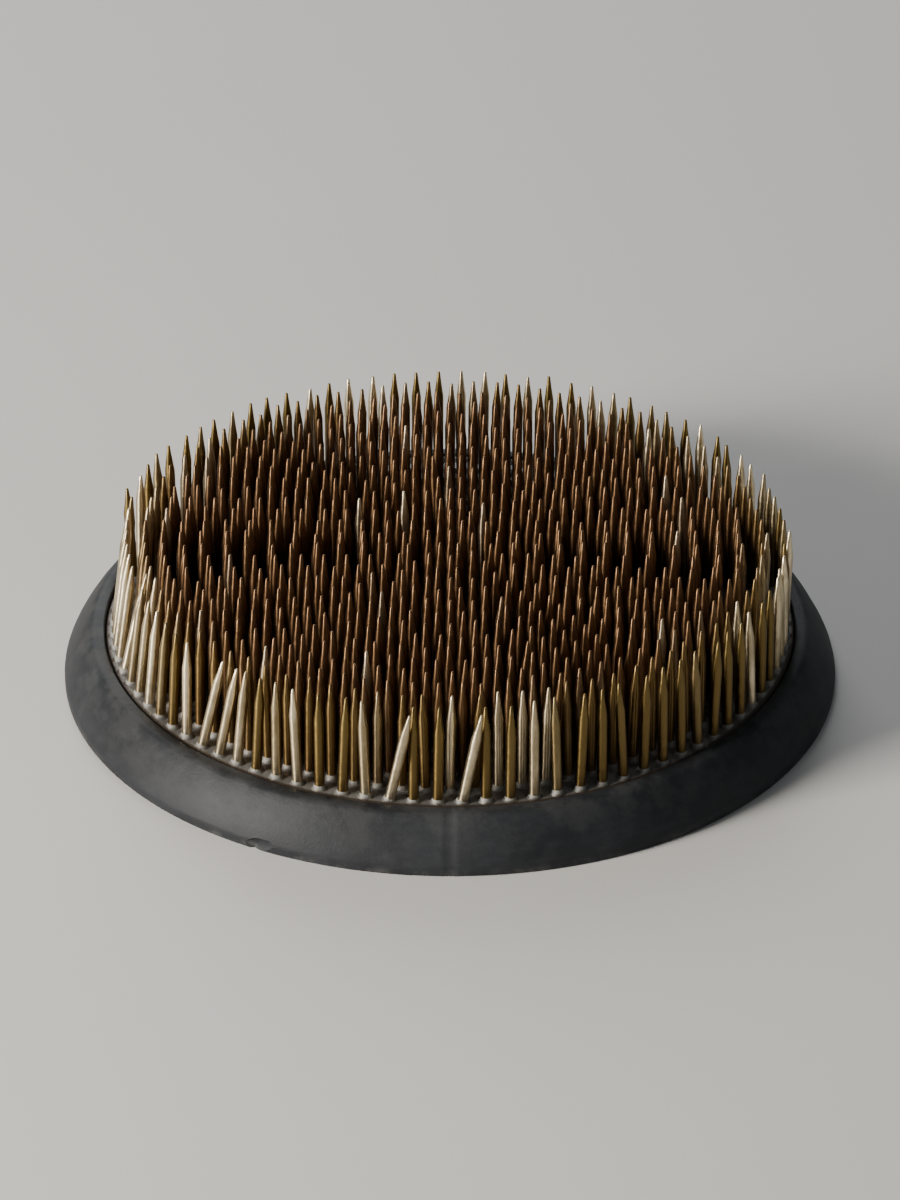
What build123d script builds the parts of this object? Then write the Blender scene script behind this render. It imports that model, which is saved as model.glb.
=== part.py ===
from build123d import *

import math
import os

# A round flower frog: a soft-metal casting full of upright brass pins, with a
# rubber ring stretched round its rim. Millimetres, +Z up. The origin is in the
# middle of the face that the ring rests on, and the front is towards -Y.

# ---- Driving dimensions ----

# The casting that carries the pins
CASTING_DIAMETER = 82.0
CASTING_THICKNESS = 5.4
CASTING_TOP_ROUND = 0.4
CASTING_BOTTOM_CHAMFER = 0.6
CASTING_MARGIN = 0.65  # metal left outside the outermost pins

# The pins
PIN_CIRCLES = 15  # circles of pins round the middle pin
PINS_PER_STEP = 6  # each circle holds this many more pins than the one inside it
PIN_DIAMETER = 1.2
PIN_STAND = 12.7  # length of a pin above the casting
PIN_SEAT = 3.9  # length of a pin inside the casting
PIN_POINT_LENGTH = 3.4
PIN_POINT_DIAMETER = 0.26
PIN_POINT_ROUND = 0.1
PIN_GAP = 0.15  # least space between a strayed pin and the one that it passes
PIN_BEND_RADIUS = 2.4  # centre line radius where a pin was bent over

# The rubber ring
RING_HEIGHT = 6.4
RING_LIP_THICKNESS = 0.8  # rubber under the casting
RING_LIP_REACH = 4.0  # how far the lip goes in under the casting
RING_TOP_WIDTH = 1.6
RING_FLARE = 3.35  # how much further out the foot stands than the top
RING_FOOT_EDGE = 1.1  # height of the upright edge at the foot
RING_BULGE = 0.3  # how far the sloping side swells outwards
RING_TOP_ROUND = 0.5
RING_FOOT_ROUND = 0.3
RING_CLEARANCE = 0.05  # round the casting's rim
JOIN_WIDTH = 0.9  # shallow groove where the two ends of the rubber meet
JOIN_DEPTH = 0.25
JOIN_ANGLE = 270.0
NICK_RADIUS = 1.8  # small piece torn out of the foot
NICK_DEPTH = 0.6
NICK_HEIGHT = 0.7
NICK_ANGLE = 242.0

# Use has bent some pins over. A pin's number counts anticlockwise from +X in
# its circle. A strayed pin belongs to the outermost circle, leans along it and
# passes outside the next pin: number, and how far the tip has moved.
# The movement is in gaps, the free space between two upright pins.
STRAYED_PINS = [
    (65, 2.2),
    (68, 1.8),
]
# A leaning pin stays short of its neighbour, leans with it, or leans between two
# of the next circle: circle, number, how far the tip has moved in gaps, and the
# way it leans in degrees from +X.
LEANING_PINS = [
    (15, 56, 2.2, 330),
    (15, 57, 1.9, 330),
    (15, 58, 0.95, 335),
    (15, 59, 0.5, 345),
    (15, 61, 0.35, 200),
    (15, 63, 0.4, 20),
    (15, 72, 0.35, 165),
    (15, 75, 0.5, 185),
    (15, 79, 0.45, 150),
    (15, 83, 0.4, 175),
    (15, 87, 0.35, 230),
    (15, 49, 2.3, 30),
    (15, 41, 0.55, 240),
    (15, 29, 0.4, 300),
    (15, 18, 0.45, 100),
    (15, 5, 0.5, 60),
    (14, 64, 0.5, 350),
    (14, 68, 0.45, 120),
    (14, 12, 0.4, 80),
    (13, 50, 0.6, 35),
    (13, 60, 0.5, 205),
    (12, 9, 0.5, 200),
    (12, 40, 0.6, 310),
    (11, 31, 0.45, 140),
    (10, 48, 0.6, 15),
    (9, 20, 0.5, 260),
    (8, 37, 0.55, 75),
    (7, 11, 0.5, 180),
    (6, 29, 0.5, 330),
    (4, 8, 0.5, 110),
    (3, 14, 0.55, 220),
]

# One side of the frog has been pushed inwards: the pins on this stretch of the
# outermost circles lean together, most in its middle and in the outermost circle.
PUSHED_CIRCLES = 3
PUSHED_ANGLE = 190.0  # the middle of the stretch, anticlockwise from +X
PUSHED_HALF_STRETCH = 33.0
PUSHED_GAPS = 1.25
PUSHED_WAY = 8.0

# ---- Sizes that follow ----

CASTING_RADIUS = CASTING_DIAMETER / 2
CASTING_TOP = RING_LIP_THICKNESS + CASTING_THICKNESS
PIN_RADIUS = PIN_DIAMETER / 2
PIN_FOOT = CASTING_TOP - PIN_SEAT
CIRCLE_STEP = (CASTING_RADIUS - CASTING_MARGIN - PIN_RADIUS) / PIN_CIRCLES
PIN_SPACING = 2 * math.pi * CIRCLE_STEP / PINS_PER_STEP
FREE_GAP = min(CIRCLE_STEP, PIN_SPACING) - PIN_DIAMETER
PASSING_ANGLE = math.degrees(math.asin((PIN_DIAMETER + PIN_GAP) / PIN_SPACING))
RING_BORE_RADIUS = CASTING_RADIUS + RING_CLEARANCE
RING_TOP_RADIUS = RING_BORE_RADIUS + RING_TOP_WIDTH
RING_RADIUS = RING_TOP_RADIUS + RING_FLARE
RING_LIP_RADIUS = CASTING_RADIUS - RING_LIP_REACH


def pin_count(circle):
    """How many pins a circle holds; circle 0 is the middle pin alone."""
    return max(1, PINS_PER_STEP * circle)


def pin_leans():
    """Every bent pin as (circle, number): (how far its tip has moved, the way it leans)."""
    leans = {}
    for rank in range(1, PUSHED_CIRCLES + 1):
        circle = PIN_CIRCLES - PUSHED_CIRCLES + rank
        for number in range(pin_count(circle)):
            off_middle = (360 * number / pin_count(circle) - PUSHED_ANGLE) / PUSHED_HALF_STRETCH
            if abs(off_middle) < 1:
                gaps = PUSHED_GAPS * rank / PUSHED_CIRCLES * (1 - off_middle**2)
                leans[circle, number] = (gaps * FREE_GAP, PUSHED_WAY)
    for number, gaps in STRAYED_PINS:
        along_circle = 360 * number / pin_count(PIN_CIRCLES) + 90
        leans[PIN_CIRCLES, number] = (gaps * FREE_GAP, along_circle - PASSING_ANGLE)
    for circle, number, gaps, way in LEANING_PINS:
        leans[circle, number] = (gaps * FREE_GAP, way)
    return leans


def make_pin(tip_move=0):
    """A pin with its foot at the origin, bent over just above its seat towards +X."""
    lean = math.degrees(math.asin(tip_move / PIN_STAND))
    with BuildPart() as pin:
        with BuildLine(Plane.XZ) as centre_line:
            seat = Line((0, 0), (0, PIN_SEAT))
            shaft_start = seat @ 1
            shaft_way = seat % 1
            shaft_length = PIN_STAND - PIN_POINT_LENGTH
            if lean > 0:
                bend = JernArc(shaft_start, shaft_way, PIN_BEND_RADIUS, -lean)
                shaft_start = bend @ 1
                shaft_way = bend % 1
                shaft_length -= bend.length
            shaft = Line(shaft_start, shaft_start + shaft_way * shaft_length)
        with BuildSketch(Plane.XY):
            Circle(PIN_RADIUS)
        sweep(path=centre_line.wires()[0])
        point_start = Plane(origin=shaft @ 1, z_dir=shaft % 1)
        with BuildSketch(point_start):
            Circle(PIN_RADIUS)
        with BuildSketch(point_start.offset(PIN_POINT_LENGTH)):
            Circle(PIN_POINT_DIAMETER / 2)
        loft()
        fillet(pin.faces().sort_by(Axis.Z)[-1].edges(), PIN_POINT_ROUND)
    return pin.part


def make_ring_body(skin):
    """The ring before its groove and nick, with a skin of this thickness taken off its outside."""
    top_corner = (RING_TOP_RADIUS - skin, RING_HEIGHT - skin)
    foot_corner = (RING_RADIUS - skin, RING_FOOT_EDGE)
    with BuildPart() as body:
        with BuildSketch(Plane.XZ) as section:
            with BuildLine():
                Polyline(
                    top_corner,
                    (RING_BORE_RADIUS, RING_HEIGHT - skin),
                    (RING_BORE_RADIUS, RING_LIP_THICKNESS),
                    (RING_LIP_RADIUS, RING_LIP_THICKNESS),
                    (RING_LIP_RADIUS, 0),
                    (RING_RADIUS - skin, 0),
                    foot_corner,
                )
                SagittaArc(foot_corner, top_corner, -RING_BULGE)
            make_face()
            foot_corners = section.vertices().group_by(Axis.X)[-1]
            fillet(foot_corners.sort_by(Axis.Y)[0], RING_FOOT_ROUND)
            top_corners = section.vertices().group_by(Axis.Y)[-1]
            fillet(top_corners.sort_by(Axis.X)[-1], RING_TOP_ROUND)
        revolve(axis=Axis.Z)
    return body.part


os.makedirs("parts", exist_ok=True)

# The casting: a disc with a blind socket for every pin, as the metal set round them.
with BuildPart() as base_casting:
    with BuildSketch(Plane.XY.offset(RING_LIP_THICKNESS)):
        Circle(CASTING_RADIUS)
    extrude(amount=CASTING_THICKNESS)
    rims = base_casting.edges().sort_by(Axis.Z)
    chamfer(rims[0], CASTING_BOTTOM_CHAMFER)
    fillet(rims[-1], CASTING_TOP_ROUND)
    with BuildSketch(Plane.XY.offset(CASTING_TOP)):
        Circle(PIN_RADIUS)
        for circle in range(1, PIN_CIRCLES + 1):
            with PolarLocations(circle * CIRCLE_STEP, pin_count(circle)):
                Circle(PIN_RADIUS)
    extrude(amount=-PIN_SEAT, mode=Mode.SUBTRACT)
base_casting.part.label = "base_casting"
export_step(base_casting.part, "parts/base_casting.step")

# The ring: it grips the casting's rim, and its lip keeps the metal off the vase's floor.
ring_core = make_ring_body(JOIN_DEPTH)
with BuildPart() as join_groove:
    with BuildSketch(Plane.XY):
        with PolarLocations(RING_RADIUS, 1, JOIN_ANGLE):
            Rectangle(2 * (RING_RADIUS - RING_BORE_RADIUS), JOIN_WIDTH)
    extrude(amount=RING_HEIGHT)
    add(ring_core, mode=Mode.SUBTRACT)

ring_body = make_ring_body(0)
with BuildPart() as rubber_ring:
    add(ring_body)
    add(join_groove.part, mode=Mode.SUBTRACT)
    with PolarLocations(RING_RADIUS + NICK_RADIUS - NICK_DEPTH, 1, NICK_ANGLE):
        with Locations((0, 0, NICK_HEIGHT)):
            Sphere(NICK_RADIUS, mode=Mode.SUBTRACT)
rubber_ring.part.label = "rubber_ring"
export_step(rubber_ring.part, "parts/rubber_ring.step")

# The pins: each circle of them is one node, and each pin in it is a solid of its own.
leans = pin_leans()
upright_pin = make_pin()
for circle in range(PIN_CIRCLES + 1):
    upright_places = []
    bent_pins = []
    for number in range(pin_count(circle)):
        tip_move, way = leans.get((circle, number), (0, 0))
        turn = math.radians(360 * number / pin_count(circle))
        x = circle * CIRCLE_STEP * math.cos(turn)
        y = circle * CIRCLE_STEP * math.sin(turn)
        place = Location((x, y, PIN_FOOT), (0, 0, way))
        if tip_move > 0:
            bent_pins.append(make_pin(tip_move).moved(place))
        else:
            upright_places.append(place)
    name = f"pin_circle_{circle:02d}" if circle else "middle_pin"
    with BuildPart() as pins:
        with Locations(*upright_places):
            add(upright_pin)
        if bent_pins:
            add(bent_pins)
    pins.part.label = name
    export_step(pins.part, f"parts/{name}.step")
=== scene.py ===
"""A round flower frog: a lead casting full of aged brass pins, with a rubber ring round its rim.

It is laid out as an add-on and run as a script. Every size is in metres, in the frame's own axes.
"""

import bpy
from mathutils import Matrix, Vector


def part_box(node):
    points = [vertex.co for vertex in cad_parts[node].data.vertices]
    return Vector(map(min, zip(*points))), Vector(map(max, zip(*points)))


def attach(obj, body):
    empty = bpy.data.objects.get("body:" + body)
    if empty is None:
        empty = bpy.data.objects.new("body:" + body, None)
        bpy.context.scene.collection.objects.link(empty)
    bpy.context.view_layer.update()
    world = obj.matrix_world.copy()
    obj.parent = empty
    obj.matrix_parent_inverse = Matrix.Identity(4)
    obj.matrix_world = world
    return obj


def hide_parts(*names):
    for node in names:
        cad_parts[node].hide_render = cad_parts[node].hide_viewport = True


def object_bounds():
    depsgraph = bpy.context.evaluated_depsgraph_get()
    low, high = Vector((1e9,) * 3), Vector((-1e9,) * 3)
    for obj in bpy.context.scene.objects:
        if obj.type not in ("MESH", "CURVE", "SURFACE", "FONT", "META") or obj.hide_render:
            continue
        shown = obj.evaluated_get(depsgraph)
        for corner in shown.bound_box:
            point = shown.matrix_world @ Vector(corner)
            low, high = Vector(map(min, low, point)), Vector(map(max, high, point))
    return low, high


bl_info = {
    "name": "Flower frog",
    "version": (1, 0, 0),
    "blender": (4, 5, 0),
    "location": "3D Viewport > Sidebar > Frog",
    "description": "Builds a pin flower frog and its stage round the packed frame",
    "category": "Add Mesh",
}

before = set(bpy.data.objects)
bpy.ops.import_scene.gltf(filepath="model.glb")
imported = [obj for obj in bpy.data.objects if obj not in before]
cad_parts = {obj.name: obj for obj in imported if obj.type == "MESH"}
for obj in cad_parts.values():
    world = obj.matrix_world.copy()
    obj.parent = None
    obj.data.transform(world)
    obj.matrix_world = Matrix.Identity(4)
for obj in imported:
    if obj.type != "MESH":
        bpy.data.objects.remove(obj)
frame_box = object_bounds()

import math
import random

import bmesh
import bpy
from bpy.props import FloatProperty, FloatVectorProperty, PointerProperty
from mathutils import Vector

# ---- Sizes that the frame gives ----

CASTING_LOW, CASTING_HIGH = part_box("base_casting")
RING_LOW, RING_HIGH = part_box("rubber_ring")
PIN_LOW, PIN_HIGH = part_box("middle_pin")
CASTING_RADIUS = CASTING_HIGH.x
CASTING_TOP = CASTING_HIGH.z
PIN_RADIUS = PIN_HIGH.x
PIN_SEAT = CASTING_TOP - PIN_LOW.z
PIN_STAND = PIN_HIGH.z - CASTING_TOP
PIN_NODES = sorted(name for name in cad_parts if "pin" in name)
OBJECT_LOW, OBJECT_HIGH = frame_box
MM = 0.001
BODY = "root"
PICTURE_WIDTH = 900
PICTURE_HEIGHT = 1200


# ---- What a user would change ----


class FrogPinSettings(bpy.types.PropertyGroup):
    point_length: FloatProperty(
        name="Point length",
        description="Length of the tapered point of a pin",
        default=3.4 * MM,
        unit="LENGTH",
    )
    tip_radius: FloatProperty(
        name="Tip radius",
        description="Radius at the blunt end of the point",
        default=0.11 * MM,
        unit="LENGTH",
    )
    sway: FloatProperty(
        name="Sway",
        description="How far out of true a usual upright pin is, each way",
        default=math.radians(0.8),
        subtype="ANGLE",
    )
    # A bent pin is painted brighter as a painted highlight, in full once its tip has moved this far.
    bent_move: FloatProperty(
        name="Bent tip movement",
        description="A bent pin whose tip has moved this far is rubbed clean by it",
        default=1.5 * MM,
        unit="LENGTH",
    )
    sink: FloatProperty(
        name="Sink",
        description="How much lower than the others a pin may stand",
        default=0.25 * MM,
        unit="LENGTH",
    )
    # Bright brass is clean brass, and also painted light on the outer pins, a painted highlight on bent
    # pins and painted glints inside.
    bright_and_lit_colour: FloatVectorProperty(
        name="Bright brass",
        description="Brass where it is rubbed clean",
        default=(0.96, 0.82, 0.56),
        subtype="COLOR",
    )
    aged_colour: FloatVectorProperty(
        name="Aged brass",
        description="Brass with its usual golden brown film",
        default=(0.192, 0.133, 0.045),
        subtype="COLOR",
    )
    browned_colour: FloatVectorProperty(
        name="Browned brass",
        description="Brass inside the crowd of pins, where it stays wet for longest",
        default=(0.235, 0.135, 0.068),
        subtype="COLOR",
    )
    # The tarnish colour is also painted shade, low on the pins and deep in the crowd.
    tarnish_and_shade_colour: FloatVectorProperty(
        name="Tarnish",
        description="The dark brown crust that grows where water stands",
        default=(0.078, 0.034, 0.013),
        subtype="COLOR",
    )


class FrogCastingSettings(bpy.types.PropertyGroup):
    top_round: FloatProperty(
        name="Top edge round",
        description="Radius of the casting's upper rim",
        default=0.4 * MM,
        unit="LENGTH",
    )
    bottom_chamfer: FloatProperty(
        name="Bottom chamfer",
        description="Chamfer of the casting's lower rim",
        default=0.6 * MM,
        unit="LENGTH",
    )
    fillet_height: FloatProperty(
        name="Fillet height",
        description="How far the metal has crept up each pin",
        default=0.55 * MM,
        unit="LENGTH",
    )
    fillet_reach: FloatProperty(
        name="Fillet reach",
        description="How far the fillet spreads from the pin",
        default=0.4 * MM,
        unit="LENGTH",
    )
    lead_colour: FloatVectorProperty(
        name="Lead",
        description="Dull grey of the cast metal",
        default=(0.16, 0.155, 0.145),
        subtype="COLOR",
    )
    bloom_colour: FloatVectorProperty(
        name="Bloom",
        description="Pale oxide on the lead",
        default=(0.30, 0.29, 0.26),
        subtype="COLOR",
    )
    # The grime colour is also painted shade between the pins and a painted shadow beside the ring.
    grime_and_shade_colour: FloatVectorProperty(
        name="Grime",
        description="Dark plant residue between the pins",
        default=(0.045, 0.028, 0.016),
        subtype="COLOR",
    )


class FrogRingSettings(bpy.types.PropertyGroup):
    top_width: FloatProperty(
        name="Top width",
        description="Width of the flat top of the ring",
        default=1.6 * MM,
        unit="LENGTH",
    )
    top_round: FloatProperty(
        name="Top round",
        description="Radius between the top and the sloping side",
        default=0.5 * MM,
        unit="LENGTH",
    )
    foot_edge: FloatProperty(
        name="Foot edge",
        description="Height of the upright edge at the foot",
        default=1.1 * MM,
        unit="LENGTH",
    )
    foot_round: FloatProperty(
        name="Foot round",
        description="Radius of the foot's lower edge",
        default=0.3 * MM,
        unit="LENGTH",
    )
    bulge: FloatProperty(
        name="Bulge",
        description="How far the sloping side swells outwards",
        default=0.3 * MM,
        unit="LENGTH",
    )
    lip_reach: FloatProperty(
        name="Lip reach",
        description="How far the lip goes in under the casting",
        default=4.0 * MM,
        unit="LENGTH",
    )
    clearance: FloatProperty(
        name="Clearance",
        description="Space between the ring's bore and the casting",
        default=0.05 * MM,
        unit="LENGTH",
    )
    join_depth: FloatProperty(
        name="Join depth",
        description="Depth of the groove where the two ends of the rubber meet",
        default=0.18 * MM,
        unit="LENGTH",
    )
    join_angle: FloatProperty(
        name="Join angle",
        description="Where the join is, anticlockwise from +X",
        default=math.radians(270),
        subtype="ANGLE",
    )
    nick_radius: FloatProperty(
        name="Nick radius",
        description="Size of the piece torn out of the foot",
        default=1.8 * MM,
        unit="LENGTH",
    )
    nick_depth: FloatProperty(
        name="Nick depth",
        description="How far the nick goes into the foot",
        default=0.6 * MM,
        unit="LENGTH",
    )
    nick_height: FloatProperty(
        name="Nick height",
        description="Height of the nick's middle above what the ring rests on",
        default=0.7 * MM,
        unit="LENGTH",
    )
    nick_angle: FloatProperty(
        name="Nick angle",
        description="Where the nick is, anticlockwise from +X",
        default=math.radians(242),
        subtype="ANGLE",
    )
    unevenness: FloatProperty(
        name="Unevenness",
        description="How far the stretched side wanders in and out",
        default=0.3 * MM,
        unit="LENGTH",
    )
    rubber_colour: FloatVectorProperty(
        name="Rubber",
        description="Slate black of the rubber",
        default=(0.015, 0.016, 0.018),
        subtype="COLOR",
    )
    scuff_colour: FloatVectorProperty(
        name="Scuffed rubber",
        description="Paler rubber where it is rubbed",
        default=(0.030, 0.032, 0.036),
        subtype="COLOR",
    )
    scale_colour: FloatVectorProperty(
        name="Lime scale",
        description="Pale scale that hard water leaves",
        default=(0.20, 0.195, 0.18),
        subtype="COLOR",
    )


class FrogStageSettings(bpy.types.PropertyGroup):
    floor_radius: FloatProperty(
        name="Floor radius",
        description="Radius of the round floor",
        default=0.7,
        unit="LENGTH",
    )
    floor_colour: FloatVectorProperty(
        name="Floor",
        description="Pale plain floor",
        default=(0.62, 0.60, 0.57),
        subtype="COLOR",
    )
    view_elevation: FloatProperty(
        name="View elevation",
        description="How far the camera looks down on the frog",
        default=math.radians(30.5),
        subtype="ANGLE",
    )
    view_distance: FloatProperty(
        name="View distance",
        description="From the camera to the middle of the frog",
        default=0.78,
        unit="LENGTH",
    )
    view_share: FloatProperty(
        name="Share of the view",
        description="How much of the picture's width the frog fills",
        default=0.86,
        subtype="FACTOR",
    )
    key_power: FloatProperty(
        name="Key light",
        description="Power of the soft light on the left",
        default=10.0,
        unit="POWER",
    )
    fill_power: FloatProperty(
        name="Fill light",
        description="Power of the weak light on the right",
        default=0.4,
        unit="POWER",
    )
    back_power: FloatProperty(
        name="Back light",
        description="Power of the light behind the frog",
        default=4.0,
        unit="POWER",
    )
    sky_colour: FloatVectorProperty(
        name="Sky",
        description="Even light from all round",
        default=(0.86, 0.93, 1.0),
        subtype="COLOR",
    )
    sky_strength: FloatProperty(
        name="Sky strength",
        description="Strength of the even light",
        default=0.12,
    )
    backdrop_colour: FloatVectorProperty(
        name="Backdrop",
        description="Plain pale colour behind the floor",
        default=(0.66, 0.655, 0.64),
        subtype="COLOR",
    )


# ---- Modelling helpers ----

SAME_PLACE = 0.001 * MM  # vertices nearer than this are one vertex
SAME_HEIGHT = 0.01 * MM
START_TURN = 0.01  # much less than the angle from one pin to the next


def deselect_all():
    """Leaves edit mode and deselects every object."""
    if bpy.context.object and bpy.context.object.mode == "EDIT":
        bpy.ops.object.mode_set(mode="OBJECT")
    bpy.ops.object.select_all(action="DESELECT")


def choose(piece):
    """Makes piece the only selected object, and the active one."""
    deselect_all()
    piece.select_set(True)
    bpy.context.view_layer.objects.active = piece


def edit_vertices(piece, wanted):
    """Goes into edit mode with those vertices selected whose place passes the test."""
    choose(piece)
    bpy.context.tool_settings.mesh_select_mode = (True, False, False)
    bpy.ops.object.mode_set(mode="EDIT")
    bpy.ops.mesh.select_all(action="DESELECT")
    mesh = bmesh.from_edit_mesh(piece.data)
    for vertex in mesh.verts:
        vertex.select_set(wanted(vertex.co))
    mesh.select_flush_mode()
    bmesh.update_edit_mesh(piece.data)


def leave_edit():
    """Goes back to object mode."""
    bpy.ops.object.mode_set(mode="OBJECT")


def raise_rings(start, rings):
    """Extrudes the selected end of a turned shape upwards, ring after ring.

    start and each of the rings are (height, radius).
    """
    height, radius = start
    for next_height, next_radius in rings:
        rise = (0, 0, next_height - height)
        bpy.ops.mesh.extrude_region_move(TRANSFORM_OT_translate={"value": rise})
        shrink = next_radius / radius
        bpy.ops.transform.resize(value=(shrink, shrink, 1.0), center_override=(0, 0, next_height))
        height, radius = next_height, next_radius


def settle(piece, name):
    """Names a finished piece and puts its place into its mesh."""
    choose(piece)
    bpy.ops.object.transform_apply(location=True, rotation=True, scale=True)
    piece.name = name
    piece.data.name = name


def join_all(pieces, name):
    """One piece out of several, with its place in its mesh."""
    deselect_all()
    for piece in pieces:
        piece.select_set(True)
    bpy.context.view_layer.objects.active = pieces[0]
    if len(pieces) > 1:
        bpy.ops.object.join()
    settle(pieces[0], name)
    return pieces[0]


def smooth(piece, angle):
    """Shades a piece smooth, with sharp edges where its faces turn by more than angle degrees."""
    choose(piece)
    bpy.ops.object.shade_smooth_by_angle(angle=math.radians(angle))


def own_copy(pattern):
    """A copy of a piece with a mesh of its own."""
    copy = pattern.copy()
    copy.data = pattern.data.copy()
    bpy.context.scene.collection.objects.link(copy)
    return copy


def place_on_frame(piece, slot, material, *nodes):
    """Gives a finished piece its material, and ties it to the frame."""
    piece.data.materials.clear()
    piece.data.materials.append(material)
    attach(piece, BODY)
    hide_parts(*nodes)


def way_round(place):
    """How far round its circle a pin stands, counted from just before -X.

    No pin stands where the count starts, so the pins come in the same order each time.
    """
    foot, _ = place
    return (math.atan2(foot.y, foot.x) + math.pi + START_TURN) % math.tau


def pin_places(node):
    """Where the frame's pins of a node stand: the middle of each foot, and the end of each point."""
    mesh = bmesh.new()
    mesh.from_mesh(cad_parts[node].data)
    bmesh.ops.remove_doubles(mesh, verts=mesh.verts, dist=SAME_PLACE)
    waiting = set(mesh.verts)
    places = []
    for first in mesh.verts:
        if first not in waiting:
            continue
        waiting.remove(first)
        island = []
        reached = [first]
        while reached:
            vertex = reached.pop()
            island.append(vertex.co.copy())
            for edge in vertex.link_edges:
                other = edge.other_vert(vertex)
                if other in waiting:
                    waiting.remove(other)
                    reached.append(other)
        foot_height = min(point.z for point in island)
        foot_points = [point for point in island if point.z < foot_height + SAME_HEIGHT]
        foot = sum(foot_points, Vector()) / len(foot_points)
        places.append((foot, max(island, key=lambda point: point.z)))
    mesh.free()
    return sorted(places, key=way_round)


# ---- Shader helpers ----


def add_node(tree, kind, **settings):
    """A new node with these properties set."""
    node = tree.nodes.new(kind)
    for name, value in settings.items():
        setattr(node, name, value)
    return node


def join_socket(tree, source, target):
    """Feeds target from an output socket, or sets it to a plain value."""
    if isinstance(source, bpy.types.NodeSocket):
        tree.links.new(source, target)
    else:
        target.default_value = source


def maths(tree, operation, *values, clamp=False):
    """The result of one operation on values that are sockets or numbers."""
    node = add_node(tree, "ShaderNodeMath", operation=operation, use_clamp=clamp)
    for value, socket in zip(values, node.inputs):
        join_socket(tree, value, socket)
    return node.outputs[0]


def rescale(tree, value, low, high, to_low=0.0, to_high=1.0):
    """A value taken smoothly from low..high to to_low..to_high, and held there."""
    node = add_node(tree, "ShaderNodeMapRange", interpolation_type="SMOOTHSTEP")
    join_socket(tree, value, node.inputs["Value"])
    join_socket(tree, low, node.inputs["From Min"])
    join_socket(tree, high, node.inputs["From Max"])
    join_socket(tree, to_low, node.inputs["To Min"])
    join_socket(tree, to_high, node.inputs["To Max"])
    return node.outputs["Result"]


def blend_colours(tree, share, first, second):
    """The first colour where share is 0, and the second where it is 1."""
    node = add_node(tree, "ShaderNodeMix", data_type="RGBA")
    join_socket(tree, share, node.inputs["Factor"])
    join_socket(tree, first, node.inputs["A"])
    join_socket(tree, second, node.inputs["B"])
    return node.outputs["Result"]


def noise(tree, vector, scale, detail=3.0, roughness=0.55):
    """Smooth noise with about this many lumps to a metre."""
    node = add_node(tree, "ShaderNodeTexNoise")
    tree.links.new(vector, node.inputs["Vector"])
    join_socket(tree, scale, node.inputs["Scale"])
    node.inputs["Detail"].default_value = detail
    node.inputs["Roughness"].default_value = roughness
    return node.outputs["Fac"]


def stretched(tree, vector, scale):
    """Coordinates multiplied along X, Y and Z, so a share under 1 draws a pattern out."""
    node = add_node(tree, "ShaderNodeMapping")
    tree.links.new(vector, node.inputs["Vector"])
    node.inputs["Scale"].default_value = scale
    return node.outputs["Vector"]


def height_of(tree, vector):
    """The upward part of a vector."""
    parts = add_node(tree, "ShaderNodeSeparateXYZ")
    tree.links.new(vector, parts.inputs[0])
    return parts.outputs["Z"]


def radius_of(tree, place):
    """How far a point is from the frog's middle line."""
    length = add_node(tree, "ShaderNodeVectorMath", operation="LENGTH")
    tree.links.new(stretched(tree, place, (1.0, 1.0, 0.0)), length.inputs[0])
    return length.outputs["Value"]


def opaque(colour):
    """A colour with full alpha, as a colour socket takes it."""
    return (*colour, 1.0)


def new_group(name, inputs, outputs):
    """A shader group with sockets only: inputs are (name, kind, default), outputs (name, kind)."""
    tree = bpy.data.node_groups.new(name, "ShaderNodeTree")
    for socket_name, kind, default in inputs:
        socket = tree.interface.new_socket(socket_name, in_out="INPUT", socket_type=kind)
        if default is not None:
            socket.default_value = default
    for socket_name, kind in outputs:
        tree.interface.new_socket(socket_name, in_out="OUTPUT", socket_type=kind)
    return tree, add_node(tree, "NodeGroupInput").outputs, add_node(tree, "NodeGroupOutput").inputs


def use_group(tree, group, **values):
    """Places a group, with each input fed from a socket or set to a value."""
    node = add_node(tree, "ShaderNodeGroup", node_tree=group)
    for name, value in values.items():
        join_socket(tree, value, node.inputs[name.capitalize()])
    return node.outputs


def shared_group(name, make):
    """The group of that name, made the first time that it is asked for."""
    return bpy.data.node_groups.get(name) or make(name)


def make_blotches(name):
    """Irregular patches: 0 outside them, 1 inside, with a ragged soft edge."""
    inputs = [
        ("Vector", "NodeSocketVector", None),
        ("Scale", "NodeSocketFloat", 100.0),
        ("Start", "NodeSocketFloat", 0.45),
        ("Full", "NodeSocketFloat", 0.65),
    ]
    tree, given, result = new_group(name, inputs, [("Mask", "NodeSocketFloat")])
    coarse = noise(tree, given["Vector"], given["Scale"])
    fine_scale = maths(tree, "MULTIPLY", given["Scale"], 6.3)
    fine = noise(tree, given["Vector"], fine_scale, detail=4.0, roughness=0.7)
    raggedness = 0.35
    ragged = maths(tree, "MULTIPLY_ADD", fine, raggedness, coarse)
    centred = maths(tree, "SUBTRACT", ragged, raggedness / 2)
    tree.links.new(rescale(tree, centred, given["Start"], given["Full"]), result["Mask"])
    return tree


def make_fine_grain(name):
    """The fine relief of a surface, as a normal."""
    inputs = [
        ("Vector", "NodeSocketVector", None),
        ("Scale", "NodeSocketFloat", 2000.0),
        ("Depth", "NodeSocketFloat", 0.05 * MM),
        ("Strength", "NodeSocketFloat", 0.5),
    ]
    tree, given, result = new_group(name, inputs, [("Normal", "NodeSocketVector")])
    coarse = noise(tree, given["Vector"], maths(tree, "MULTIPLY", given["Scale"], 0.21), detail=2.0)
    fine = noise(tree, given["Vector"], given["Scale"], detail=5.0, roughness=0.65)
    bump = add_node(tree, "ShaderNodeBump")
    tree.links.new(maths(tree, "ADD", coarse, fine), bump.inputs["Height"])
    tree.links.new(given["Depth"], bump.inputs["Distance"])
    tree.links.new(given["Strength"], bump.inputs["Strength"])
    tree.links.new(bump.outputs["Normal"], result["Normal"])
    return tree


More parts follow.
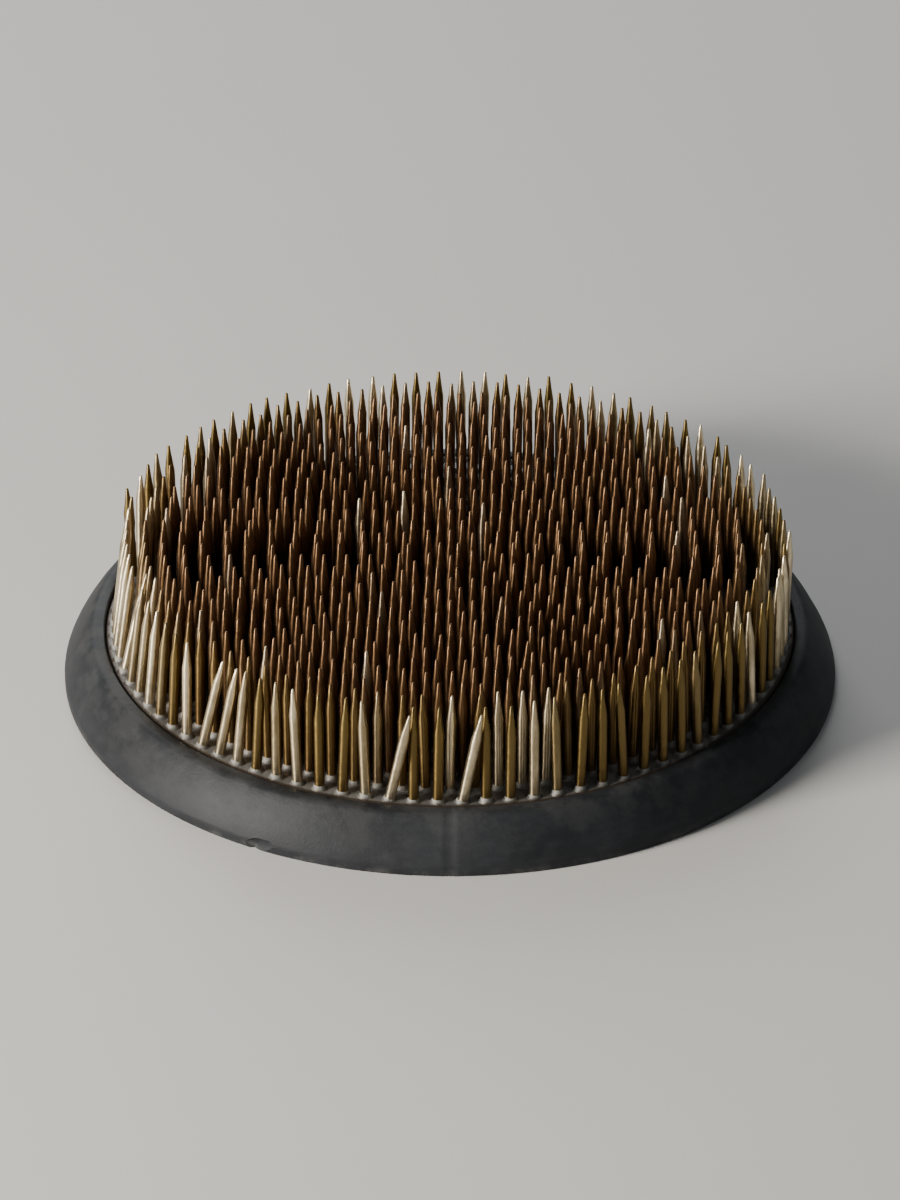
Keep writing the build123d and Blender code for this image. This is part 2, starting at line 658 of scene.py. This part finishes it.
def make_settled(name):
    """What settles on faces that look upwards, broken up by patches."""
    inputs = [
        ("Vector", "NodeSocketVector", None),
        ("Scale", "NodeSocketFloat", 150.0),
        ("Amount", "NodeSocketFloat", 0.5),
    ]
    tree, given, result = new_group(name, inputs, [("Mask", "NodeSocketFloat")])
    geometry = add_node(tree, "ShaderNodeNewGeometry")
    upwards = rescale(tree, height_of(tree, geometry.outputs["Normal"]), 0.2, 0.95)
    patches = use_group(
        tree,
        shared_group("blotches", make_blotches),
        vector=given["Vector"],
        scale=given["Scale"],
        start=0.38,
        full=0.62,
    )
    covered = maths(tree, "MULTIPLY", upwards, patches["Mask"])
    tree.links.new(maths(tree, "MULTIPLY", covered, given["Amount"]), result["Mask"])
    return tree


def new_material(name, metallic, specular=0.5):
    """A material with its shader, and the object's own coordinates."""
    material = bpy.data.materials.new(name)
    material.use_nodes = True
    tree = material.node_tree
    shader = tree.nodes["Principled BSDF"]
    shader.inputs["Metallic"].default_value = metallic
    shader.inputs["Specular IOR Level"].default_value = specular
    place = add_node(tree, "ShaderNodeTexCoord").outputs["Object"]
    return material, tree, shader, place


# ---- Materials ----

# The crowd of pins ends gradually towards the casting's rim. Each finish, with the painted light and
# painted shade that go with it, changes from this far inside the rim to that far inside it.
CLEAN_AND_LIT_FADE = (8.0 * MM, 1.4 * MM)
CRUST_AND_SHADE_FADE = (7.0 * MM, 1.7 * MM)
GRIME_AND_SHADE_FADE = (7.0 * MM, 1.6 * MM)
RIM_SHADOW_FADE = (0.7 * MM, 0.3 * MM)
CRUST_AND_SHADE_TOP = CASTING_TOP + 0.9 * PIN_STAND
COLLAR_FOOT = CASTING_TOP + 0.05 * MM
COLLAR_HEAD = CASTING_TOP + 0.4 * MM
TIDE_TOP = 1.3 * MM
WAVE_DEPTH = 0.12 * MM
CLOUDS_PER_METRE = 9.0  # the faint patches of the floor
FLOOR_LIGHTER = 1.06  # how much brighter the pale patches are


def by_rim(tree, radius, fade, inside, outside):
    """A value that is inside deep in the crowd of pins, and outside near the casting's rim."""
    start, end = fade
    return rescale(tree, radius, CASTING_RADIUS - start, CASTING_RADIUS - end, inside, outside)


def brass_material(pins):
    """Aged brass wire: golden outside the crowd of pins, brown and crusted deep inside it, with painted
    light on the outer pins, painted glints and a painted highlight on some pins, and painted shade low
    down and inside.
    """
    material, tree, shader, place = new_material("aged_brass", metallic=0.95)
    tone_and_highlight = add_node(tree, "ShaderNodeAttribute", attribute_name="pin_tone").outputs["Fac"]
    radius = radius_of(tree, place)
    blotches = shared_group("blotches", make_blotches)
    along = stretched(tree, place, (1.0, 1.0, 0.35))
    # Clean pins stand outside the crowd, where the brass is also painted brighter as painted light; a few
    # pins inside are painted bright as painted glints; a film dulls them in patches.
    film = use_group(tree, blotches, vector=along, scale=330.0, start=0.35, full=0.7)["Mask"]
    outside = by_rim(tree, radius, CLEAN_AND_LIT_FADE, 0.0, 1.0)
    clean_and_lit_outside = maths(tree, "MULTIPLY", outside, rescale(tree, tone_and_highlight, 0.15, 1.0))
    painted_glints_inside = rescale(tree, tone_and_highlight, 0.9, 0.97, 0.0, 0.75)
    cleaned_and_lit = maths(tree, "MAXIMUM", clean_and_lit_outside, painted_glints_inside)
    cleaned_and_lit = maths(tree, "MULTIPLY", cleaned_and_lit, rescale(tree, film, 0.0, 1.0, 1.0, 0.5))
    colour = blend_colours(tree, outside, opaque(pins.browned_colour), opaque(pins.aged_colour))
    colour = blend_colours(tree, cleaned_and_lit, colour, opaque(pins.bright_and_lit_colour))
    # Crust grows low on the pins, and all over the ones inside; the same dark colour is painted shade low
    # down and deep in the crowd of pins.
    crust_spots = use_group(tree, blotches, vector=along, scale=300.0, start=0.3, full=0.66)["Mask"]
    crust_and_shade_low = rescale(tree, height_of(tree, place), CASTING_TOP, CRUST_AND_SHADE_TOP, 0.9, 0.3)
    crust_and_shade = maths(tree, "MULTIPLY", crust_and_shade_low, by_rim(tree, radius, CRUST_AND_SHADE_FADE, 1.0, 0.3))
    crust_and_shade = maths(tree, "MULTIPLY", crust_and_shade, rescale(tree, crust_spots, 0.0, 1.0, 0.75, 1.1), clamp=True)
    colour = blend_colours(tree, crust_and_shade, colour, opaque(pins.tarnish_and_shade_colour))
    tree.links.new(colour, shader.inputs["Base Color"])
    # Crust and film are rougher than clean brass.
    rough = rescale(tree, cleaned_and_lit, 0.0, 1.0, 0.34, 0.27)
    rough = maths(tree, "MULTIPLY_ADD", crust_and_shade, 0.15, rough)
    rough = maths(tree, "MULTIPLY_ADD", film, 0.06, rough)
    tree.links.new(rough, shader.inputs["Roughness"])
    # The marks of grinding run round a pin, so its highlights stretch along it.
    pin_way = add_node(tree, "ShaderNodeAttribute", attribute_name="pin_way").outputs["Vector"]
    tree.links.new(pin_way, shader.inputs["Tangent"])
    tree.links.new(rescale(tree, tone_and_highlight, 0.0, 1.0, 0.75, 0.88), shader.inputs["Anisotropic"])
    grain = use_group(
        tree,
        shared_group("fine_grain", make_fine_grain),
        vector=stretched(tree, place, (0.2, 0.2, 1.0)),
        scale=5200.0,
        depth=0.02 * MM,
        strength=0.5,
    )
    # Slow waves along a pin catch the light here and there.
    wave_place = stretched(tree, place, (0.45, 0.45, 1.0))
    waves = add_node(tree, "ShaderNodeBump")
    waves.inputs["Strength"].default_value = 1.0
    waves.inputs["Distance"].default_value = WAVE_DEPTH
    tree.links.new(noise(tree, wave_place, 900.0, detail=1.5, roughness=0.4), waves.inputs["Height"])
    tree.links.new(grain["Normal"], waves.inputs["Normal"])
    tree.links.new(waves.outputs["Normal"], shader.inputs["Normal"])
    return material


def lead_material(casting):
    """Cast lead: dull grey with pale bloom, plant grime and painted shade deep between the pins, and a
    painted shadow beside the ring.
    """
    material, tree, shader, place = new_material("cast_lead", metallic=0.55)
    radius = radius_of(tree, place)
    blotches = shared_group("blotches", make_blotches)
    # Bloom lies in patches, and on the collars that stand round the pins.
    bloom_spots = use_group(tree, blotches, vector=place, scale=260.0, start=0.4, full=0.62)["Mask"]
    on_collars = rescale(tree, height_of(tree, place), COLLAR_FOOT, COLLAR_HEAD)
    bloom = maths(tree, "MAXIMUM", maths(tree, "MULTIPLY", bloom_spots, 0.4), on_collars)
    colour = blend_colours(tree, bloom, opaque(casting.lead_colour), opaque(casting.bloom_colour))
    # Grime and painted shade lie deep between the pins, and a painted shadow lies in the groove beside
    # the ring.
    grime_spots = use_group(tree, blotches, vector=place, scale=140.0, start=0.25, full=0.6)["Mask"]
    grime_and_shade_in = by_rim(tree, radius, GRIME_AND_SHADE_FADE, 1.0, 0.1)
    grime_and_shade_in = maths(tree, "MULTIPLY", grime_and_shade_in, rescale(tree, grime_spots, 0.0, 1.0, 0.7, 1.0))
    grime_and_shade = maths(tree, "MAXIMUM", grime_and_shade_in, by_rim(tree, radius, RIM_SHADOW_FADE, 0.0, 0.9))
    colour = blend_colours(tree, grime_and_shade, colour, opaque(casting.grime_and_shade_colour))
    tree.links.new(colour, shader.inputs["Base Color"])
    tree.links.new(rescale(tree, bloom, 0.0, 1.0, 0.42, 0.72), shader.inputs["Roughness"])
    grain = use_group(
        tree,
        shared_group("fine_grain", make_fine_grain),
        vector=place,
        scale=2600.0,
        depth=0.09 * MM,
        strength=0.7,
    )
    tree.links.new(grain["Normal"], shader.inputs["Normal"])
    return material


def rubber_material(ring):
    """Worn slate rubber: paler where it is rubbed, with a little lime scale on what looks up."""
    material, tree, shader, place = new_material("worn_rubber", metallic=0.0, specular=0.2)
    blotches = shared_group("blotches", make_blotches)
    worn = use_group(tree, blotches, vector=place, scale=75.0, start=0.36, full=0.7)["Mask"]
    swept = stretched(tree, place, (1.0, 1.0, 3.0))
    streaks = use_group(tree, blotches, vector=swept, scale=420.0, start=0.42, full=0.75)["Mask"]
    scuffed = maths(tree, "MULTIPLY_ADD", streaks, 0.3, maths(tree, "MULTIPLY", worn, 0.45))
    colour = blend_colours(tree, scuffed, opaque(ring.rubber_colour), opaque(ring.scuff_colour))
    # Lime scale settles on what looks upwards, and leaves a tide mark at the foot.
    settled = use_group(
        tree,
        shared_group("settled", make_settled),
        vector=place,
        scale=240.0,
        amount=0.10,
    )["Mask"]
    tide = rescale(tree, height_of(tree, place), 0.0, TIDE_TOP, 0.2, 0.0)
    tide_spots = use_group(tree, blotches, vector=place, scale=330.0, start=0.45, full=0.7)["Mask"]
    lime = maths(tree, "MULTIPLY_ADD", tide, tide_spots, settled, clamp=True)
    colour = blend_colours(tree, lime, colour, opaque(ring.scale_colour))
    tree.links.new(colour, shader.inputs["Base Color"])
    rough = maths(tree, "MULTIPLY_ADD", scuffed, 0.16, 0.5)
    rough = maths(tree, "MULTIPLY_ADD", lime, 0.3, rough, clamp=True)
    tree.links.new(rough, shader.inputs["Roughness"])
    grain = use_group(
        tree,
        shared_group("fine_grain", make_fine_grain),
        vector=place,
        scale=3400.0,
        depth=0.05 * MM,
        strength=0.55,
    )
    tree.links.new(grain["Normal"], shader.inputs["Normal"])
    return material


def floor_material(stage):
    """A plain pale floor with faint patches."""
    material, tree, shader, place = new_material("pale_floor", metallic=0.0, specular=0.25)
    cloudy = noise(tree, place, CLOUDS_PER_METRE, detail=4.0)
    lighter = [min(1.0, part * FLOOR_LIGHTER) for part in stage.floor_colour]
    colour = blend_colours(tree, cloudy, opaque(stage.floor_colour), opaque(lighter))
    tree.links.new(colour, shader.inputs["Base Color"])
    tree.links.new(rescale(tree, cloudy, 0.2, 0.8, 0.55, 0.7), shader.inputs["Roughness"])
    return material


# ---- The pieces ----

PIN_SIDES = 10
PIN_SEED = 7
PIN_SMOOTH_ANGLE = 50
BEND_BELOW = 0.25 * MM  # a bent pin is straight below this depth in the casting
BEND_ABOVE = 0.5 * MM  # and straight again above this height
BENT_FROM = 0.15 * MM  # a frame pin whose tip is this far out is a bent one
POINT_RING_PLACE = 0.55  # a ring of the point, as a share of the way up it
POINT_RING_RADIUS = 0.56  # its radius, as a share of the pin's
TIP_EDGE = 0.06 * MM  # height of the rounded edge at the very tip
TIP_EDGE_SHARES = (1.5, 0.7)  # radii below and above it, as shares of the tip's
TONE_POWER = 3.0  # a higher power makes clean pins rarer
# A bent pin's tone is raised as a painted highlight.
BENT_HIGHLIGHT_TONE = 0.45  # what a full bend adds to a pin's tone


def model_pin(pins):
    """One upright pin, with its origin on its middle line where it leaves the casting."""
    deselect_all()
    bottom_length = PIN_SEAT - BEND_BELOW
    bpy.ops.mesh.primitive_cylinder_add(
        vertices=PIN_SIDES,
        radius=PIN_RADIUS,
        depth=bottom_length,
        end_fill_type="NGON",
        location=(0, 0, -BEND_BELOW - bottom_length / 2),
    )
    pin = bpy.context.object
    settle(pin, "pin_pattern")
    point_start = PIN_STAND - pins.point_length
    rings = [
        (BEND_ABOVE, PIN_RADIUS),
        (point_start, PIN_RADIUS),
        (point_start + POINT_RING_PLACE * pins.point_length, POINT_RING_RADIUS * PIN_RADIUS),
        (PIN_STAND - TIP_EDGE, pins.tip_radius * TIP_EDGE_SHARES[0]),
        (PIN_STAND, pins.tip_radius * TIP_EDGE_SHARES[1]),
    ]
    edit_vertices(pin, lambda place: place.z > -BEND_BELOW - SAME_HEIGHT)
    raise_rings((-BEND_BELOW, PIN_RADIUS), rings)
    leave_edit()
    smooth(pin, PIN_SMOOTH_ANGLE)
    return pin


def stand_pin(pattern, foot, tip, pins, draws):
    """A copy of the pattern in its socket, bent as the frame's pin there is bent.

    pin_tone says how clean the pin is, and how brightly a bent pin is painted as a painted highlight,
    from 0 to 1, and pin_way is the way that it points.
    """
    pin = own_copy(pattern)
    lean = tip - foot
    move = math.hypot(lean.x, lean.y)
    spin = draws.uniform(0, math.tau)
    sway = [draws.gauss(0, pins.sway) for _ in range(2)]
    sink = draws.uniform(0, pins.sink)
    tone_and_highlight = draws.random() ** TONE_POWER
    if move > BENT_FROM:
        edit_vertices(pin, lambda place: place.z > 0)
        angle = math.asin(move / PIN_STAND)
        bpy.ops.transform.rotate(value=-angle, orient_axis="Y", center_override=(0, 0, 0))
        leave_edit()
        if pin.data.vertices[-1].co.x < 0:
            raise RuntimeError("a bent pin leans the wrong way")
        pin.rotation_euler = (0, 0, math.atan2(lean.y, lean.x))
        # A bent pin is painted brighter: a painted highlight where it catches the light.
        tone_and_highlight = min(1.0, tone_and_highlight + BENT_HIGHLIGHT_TONE * move / pins.bent_move)
        way = Vector((lean.x, lean.y, math.sqrt(PIN_STAND**2 - move**2))).normalized()
    else:
        pin.rotation_euler = (*sway, spin)
        way = pin.rotation_euler.to_matrix() @ Vector((0, 0, 1))
    pin.location = (foot.x, foot.y, CASTING_TOP - sink)
    tones = pin.data.attributes.new("pin_tone", "FLOAT", "POINT").data
    tones.foreach_set("value", [tone_and_highlight] * len(tones))
    ways = pin.data.attributes.new("pin_way", "FLOAT_VECTOR", "POINT").data
    ways.foreach_set("vector", list(way) * len(ways))
    return pin


class FROG_OT_add_pins(bpy.types.Operator):
    """Stands a brass pin in every socket of the casting, one piece for each circle of pins"""

    bl_idname = "frog.add_pins"
    bl_label = "Add the pins"

    def execute(self, context):
        pins = context.scene.frog_pins
        draws = random.Random(PIN_SEED)
        brass = brass_material(pins)
        pattern = model_pin(pins)
        for node in PIN_NODES:
            standing = [stand_pin(pattern, foot, tip, pins, draws) for foot, tip in pin_places(node)]
            place_on_frame(join_all(standing, f"brass_{node}"), "brass", brass, node)
        bpy.data.objects.remove(pattern)
        return {"FINISHED"}


DISC_SIDES = 192
FILLET_BURIED = 0.1 * MM  # how deep a collar's foot is in the casting
FILLET_HOLLOW = (0.3, 0.45)  # shares of its height and reach where its side is hollowed
FILLET_TOP_REACH = 0.02  # what is left of its reach at its top
COLLAR_SIZES = (0.7, 1.15)  # least and most height of a collar, as shares of the fillet's
CASTING_SMOOTH_ANGLE = 40


def model_fillet(casting):
    """The collar of metal that crept up a pin when the casting set, with its foot just inside it."""
    deselect_all()
    foot_radius = PIN_RADIUS + casting.fillet_reach
    bpy.ops.mesh.primitive_cylinder_add(
        vertices=PIN_SIDES,
        radius=foot_radius,
        depth=FILLET_BURIED,
        end_fill_type="NGON",
        location=(0, 0, -FILLET_BURIED / 2),
    )
    fillet = bpy.context.object
    settle(fillet, "fillet_pattern")
    edit_vertices(fillet, lambda place: place.z > -FILLET_BURIED / 2)
    rings = [
        (casting.fillet_height * height_share, PIN_RADIUS + casting.fillet_reach * reach_share)
        for height_share, reach_share in (FILLET_HOLLOW, (1.0, FILLET_TOP_REACH))
    ]
    raise_rings((0, foot_radius), rings)
    leave_edit()
    return fillet


class FROG_OT_add_casting(bpy.types.Operator):
    """Models the lead casting, with a collar of metal round the foot of every pin"""

    bl_idname = "frog.add_casting"
    bl_label = "Add the casting"

    def execute(self, context):
        casting = context.scene.frog_casting
        draws = random.Random(PIN_SEED)
        deselect_all()
        bpy.ops.mesh.primitive_cylinder_add(
            vertices=DISC_SIDES,
            radius=CASTING_RADIUS,
            depth=CASTING_TOP - CASTING_LOW.z,
            end_fill_type="NGON",
            location=(0, 0, (CASTING_TOP + CASTING_LOW.z) / 2),
        )
        disc = context.object
        settle(disc, "disc")
        edit_vertices(disc, lambda place: place.z > CASTING_TOP - SAME_HEIGHT)
        bpy.ops.mesh.bevel(offset=casting.top_round, segments=4, affect="EDGES")
        leave_edit()
        edit_vertices(disc, lambda place: place.z < CASTING_LOW.z + SAME_HEIGHT)
        bpy.ops.mesh.bevel(offset=casting.bottom_chamfer, segments=1, affect="EDGES")
        leave_edit()
        pattern = model_fillet(casting)
        collars = []
        for node in PIN_NODES:
            for foot, _ in pin_places(node):
                collar = own_copy(pattern)
                collar.scale = (1.0, 1.0, draws.uniform(*COLLAR_SIZES))
                collar.rotation_euler = (0, 0, draws.uniform(0, math.tau))
                collar.location = (foot.x, foot.y, CASTING_TOP)
                collars.append(collar)
        bpy.data.objects.remove(pattern)
        piece = join_all([disc, *collars], "lead_casting")
        smooth(piece, CASTING_SMOOTH_ANGLE)
        place_on_frame(piece, "lead", lead_material(casting), "base_casting")
        return {"FINISHED"}


RING_STEPS = 480  # columns of faces round the ring
SIDE_STEPS = 5  # rows of faces up its sloping side
RING_SMOOTH_ANGLE = 38
JOIN_MARGIN = 0.5 * MM  # the join starts this far outside the casting
JOIN_FOOT = 0.1 * MM  # and this far above what the ring rests on
UNEVEN_LENGTH = 14.0 * MM  # about how far it is from one swelling of the side to the next
UNEVEN_MIDDLE = 0.55  # just over a half, so that it wanders inwards more than outwards
UNEVEN_MARGIN = 0.3 * MM  # this much beside the bore and above the floor keeps its place
NICK_TILT = (0.3, 0.5)  # turns about X and Y, in radians
NICK_SHAPE = (1.0, 1.5, 0.8)
NICK_RAGGEDNESS = 0.28 * MM
NICK_SEED = 5


def ring_outline(ring):
    """The ring's section, in order round it, as (distance from the middle line, height)."""
    bore = CASTING_RADIUS + ring.clearance
    lip = CASTING_RADIUS - ring.lip_reach
    foot = Vector((RING_HIGH.x, ring.foot_edge))
    top = Vector((bore + ring.top_width, RING_HIGH.z))
    outwards = Vector((top.y - foot.y, foot.x - top.x)).normalized()
    side = []
    for step in range(1, SIDE_STEPS):
        share = step / SIDE_STEPS
        swell = 4 * share * (1 - share) * ring.bulge
        side.append(foot.lerp(top, share) + outwards * swell)
    return [
        (lip, 0),
        (foot.x, 0),
        foot,
        *side,
        top,
        (bore, top.y),
        (bore, CASTING_LOW.z),
        (lip, CASTING_LOW.z),
    ]


def near(place, reach, height, radius=0.05 * MM):
    """Whether a place is at this distance from the middle line and at this height."""
    return abs(math.hypot(place.x, place.y) - reach) < radius and abs(place.z - height) < radius


class FROG_OT_add_ring(bpy.types.Operator):
    """Models the rubber ring, with its join, its nick and the unevenness of stretched rubber"""

    bl_idname = "frog.add_ring"
    bl_label = "Add the rubber ring"

    def execute(self, context):
        ring = context.scene.frog_ring
        outline = ring_outline(ring)
        deselect_all()
        bpy.ops.mesh.primitive_circle_add(vertices=len(outline), radius=RING_HIGH.x, location=(0, 0, 0))
        piece = context.object
        for vertex, (reach, height) in zip(piece.data.vertices, outline):
            vertex.co = (reach, 0, height)
        bore, top = CASTING_RADIUS + ring.clearance, RING_HIGH.z
        edit_vertices(piece, lambda place: True)
        bpy.ops.mesh.edge_face_add()
        leave_edit()
        rounds = [
            (bore + ring.top_width, top, ring.top_round),
            (bore, top, ring.foot_round),
            (RING_HIGH.x, 0, ring.foot_round),
            (RING_HIGH.x, ring.foot_edge, ring.foot_round),
        ]
        for reach, height, radius in rounds:
            edit_vertices(piece, lambda place: near(place, reach, height))
            bpy.ops.mesh.bevel(offset=radius, segments=4, affect="VERTICES")
            leave_edit()
        edit_vertices(piece, lambda place: True)
        bpy.ops.mesh.delete(type="ONLY_FACE")
        bpy.ops.mesh.select_all(action="SELECT")
        bpy.ops.mesh.spin(steps=RING_STEPS, angle=math.tau, center=(0, 0, 0), axis=(0, 0, 1))
        bpy.ops.mesh.select_all(action="SELECT")
        bpy.ops.mesh.remove_doubles(threshold=SAME_PLACE)
        bpy.ops.mesh.normals_make_consistent(inside=False)
        leave_edit()
        self.cut_join(piece, ring)
        self.make_uneven(piece, ring)
        self.tear_nick(piece, ring)
        settle(piece, "worn_rubber_ring")
        smooth(piece, RING_SMOOTH_ANGLE)
        place_on_frame(piece, "rubber", rubber_material(ring), "rubber_ring")
        return {"FINISHED"}

    def cut_join(self, piece, ring):
        """Presses one column of the outer skin in, where the two ends of the rubber meet."""
        half_step = math.pi / RING_STEPS

        def on_join(place):
            turned = math.atan2(place.y, place.x) - ring.join_angle
            turned = (turned + math.pi) % math.tau - math.pi
            outside = math.hypot(place.x, place.y) > CASTING_RADIUS + JOIN_MARGIN
            return abs(turned) < half_step and outside and place.z > JOIN_FOOT

        edit_vertices(piece, on_join)
        bpy.ops.transform.shrink_fatten(value=-ring.join_depth)
        leave_edit()

    def make_uneven(self, piece, ring):
        """Lets the sloping side wander in and out a little."""
        group = piece.vertex_groups.new(name="side")
        side_start = CASTING_RADIUS + ring.clearance + UNEVEN_MARGIN
        for vertex in piece.data.vertices:
            reach = math.hypot(vertex.co.x, vertex.co.y)
            if reach > side_start and vertex.co.z > UNEVEN_MARGIN:
                group.add([vertex.index], 1.0, "REPLACE")
        clouds = bpy.data.textures.new("ring_unevenness", "CLOUDS")
        clouds.noise_scale = UNEVEN_LENGTH
        clouds.noise_depth = 2
        displace = piece.modifiers.new("unevenness", "DISPLACE")
        displace.texture = clouds
        displace.texture_coords = "LOCAL"
        displace.vertex_group = group.name
        displace.strength = ring.unevenness
        displace.mid_level = UNEVEN_MIDDLE
        choose(piece)
        bpy.ops.object.modifier_apply(modifier=displace.name)
        piece.vertex_groups.clear()

    def tear_nick(self, piece, ring):
        """Takes a small torn bite out of the foot."""
        deselect_all()
        reach = RING_HIGH.x + ring.nick_radius - ring.nick_depth
        across = Vector((math.cos(ring.nick_angle), math.sin(ring.nick_angle), 0))
        centre = across * reach + Vector((0, 0, ring.nick_height))
        bpy.ops.mesh.primitive_ico_sphere_add(
            subdivisions=2,
            radius=ring.nick_radius,
            location=centre,
            rotation=(*NICK_TILT, ring.nick_angle),
            scale=NICK_SHAPE,
        )
        bite = bpy.context.object
        edit_vertices(bite, lambda place: True)
        bpy.ops.transform.vertex_random(offset=NICK_RAGGEDNESS, uniform=0.6, seed=NICK_SEED)
        leave_edit()
        cut = piece.modifiers.new("nick", "BOOLEAN")
        cut.operation = "DIFFERENCE"
        cut.object = bite
        choose(piece)
        bpy.ops.object.modifier_apply(modifier=cut.name)
        bpy.data.objects.remove(bite)


# The lights: name, place, side of the square, and colour. Their powers are stage settings.
LIGHTS = [
    ("key", (-0.55, -0.30, 0.24), 0.2, (1.0, 0.96, 0.9)),
    ("fill", (0.6, -0.5, 0.3), 0.5, (0.9, 0.95, 1.0)),
    ("back", (-0.15, 0.75, 0.5), 0.5, (0.95, 0.98, 1.0)),
]
CLIP_START = 0.01


class FROG_OT_add_stage(bpy.types.Operator):
    """Adds the pale floor, the soft lights and the camera"""

    bl_idname = "frog.add_stage"
    bl_label = "Add the stage"

    def execute(self, context):
        stage = context.scene.frog_stage
        self.add_floor(stage)
        middle = (OBJECT_LOW + OBJECT_HIGH) / 2
        for name, place, size, colour in LIGHTS:
            self.add_light(name, place, size, getattr(stage, name + "_power"), colour, middle)
        self.add_sky(context, stage)
        self.add_camera(context, stage, middle)
        return {"FINISHED"}

    def add_floor(self, stage):
        """A round floor, so that its far edge looks the same from every side."""
        deselect_all()
        bpy.ops.mesh.primitive_circle_add(
            vertices=DISC_SIDES,
            radius=stage.floor_radius,
            fill_type="NGON",
            location=(0, 0, OBJECT_LOW.z),
        )
        floor = bpy.context.object
        settle(floor, "floor")
        floor.data.materials.append(floor_material(stage))

    def add_light(self, name, place, size, power, colour, target):
        """A square soft light at place that points at target."""
        deselect_all()
        turn = (target - Vector(place)).to_track_quat("-Z", "Y").to_euler()
        bpy.ops.object.light_add(type="AREA", location=place, rotation=turn)
        light = bpy.context.object
        light.name = name + "_light"
        light.data.size = size
        light.data.energy = power
        light.data.color = colour

    def add_sky(self, context, stage):
        """Weak even light from all round, and a plain pale backdrop that gives no light."""
        world = bpy.data.worlds.new("soft_sky")
        world.use_nodes = True
        tree = world.node_tree
        sky = tree.nodes["Background"]
        sky.inputs["Color"].default_value = opaque(stage.sky_colour)
        sky.inputs["Strength"].default_value = stage.sky_strength
        backdrop = add_node(tree, "ShaderNodeBackground")
        backdrop.inputs["Color"].default_value = opaque(stage.backdrop_colour)
        seen = add_node(tree, "ShaderNodeMixShader")
        tree.links.new(add_node(tree, "ShaderNodeLightPath").outputs["Is Camera Ray"], seen.inputs["Fac"])
        tree.links.new(sky.outputs["Background"], seen.inputs[1])
        tree.links.new(backdrop.outputs["Background"], seen.inputs[2])
        tree.links.new(seen.outputs["Shader"], tree.nodes["World Output"].inputs["Surface"])
        context.scene.world = world

    def add_camera(self, context, stage, middle):
        """A camera in front, aimed at the middle, that fits the frog into the picture's width."""
        deselect_all()
        back = Vector((0, -math.cos(stage.view_elevation), math.sin(stage.view_elevation)))
        turn = (-back).to_track_quat("-Z", "Y").to_euler()
        place = middle + back * stage.view_distance
        bpy.ops.object.camera_add(location=place, rotation=turn)
        camera = context.object
        camera.name = "front_camera"
        view_width = (OBJECT_HIGH.x - OBJECT_LOW.x) / stage.view_share
        view_height = view_width * PICTURE_HEIGHT / PICTURE_WIDTH
        camera.data.lens = camera.data.sensor_width * stage.view_distance / view_height
        camera.data.clip_start = CLIP_START
        context.scene.camera = camera


class FROG_PT_sidebar(bpy.types.Panel):
    """The frog's sizes, colours and pieces"""

    bl_idname = "FROG_PT_sidebar"
    bl_label = "Flower frog"
    bl_space_type = "VIEW_3D"
    bl_region_type = "UI"
    bl_category = "Frog"

    def draw(self, context):
        for name, operator in PARTS:
            box = self.layout.box()
            settings = getattr(context.scene, name)
            for setting in settings.bl_rna.properties:
                if setting.identifier not in {"rna_type", "name"}:
                    box.prop(settings, setting.identifier)
            box.operator(operator.bl_idname)


PARTS = [
    ("frog_casting", FROG_OT_add_casting),
    ("frog_pins", FROG_OT_add_pins),
    ("frog_ring", FROG_OT_add_ring),
    ("frog_stage", FROG_OT_add_stage),
]
SETTINGS = {
    "frog_casting": FrogCastingSettings,
    "frog_pins": FrogPinSettings,
    "frog_ring": FrogRingSettings,
    "frog_stage": FrogStageSettings,
}
CLASSES = [*SETTINGS.values(), *(operator for _, operator in PARTS), FROG_PT_sidebar]


def register():
    for each in CLASSES:
        bpy.utils.register_class(each)
    for name, settings in SETTINGS.items():
        setattr(bpy.types.Scene, name, PointerProperty(type=settings))


def unregister():
    for name in SETTINGS:
        delattr(bpy.types.Scene, name)
    for each in reversed(CLASSES):
        bpy.utils.unregister_class(each)


def main():
    register()
    bpy.ops.frog.add_casting()
    bpy.ops.frog.add_pins()
    bpy.ops.frog.add_ring()
    bpy.ops.frog.add_stage()


if __name__ == "__main__":
    main()
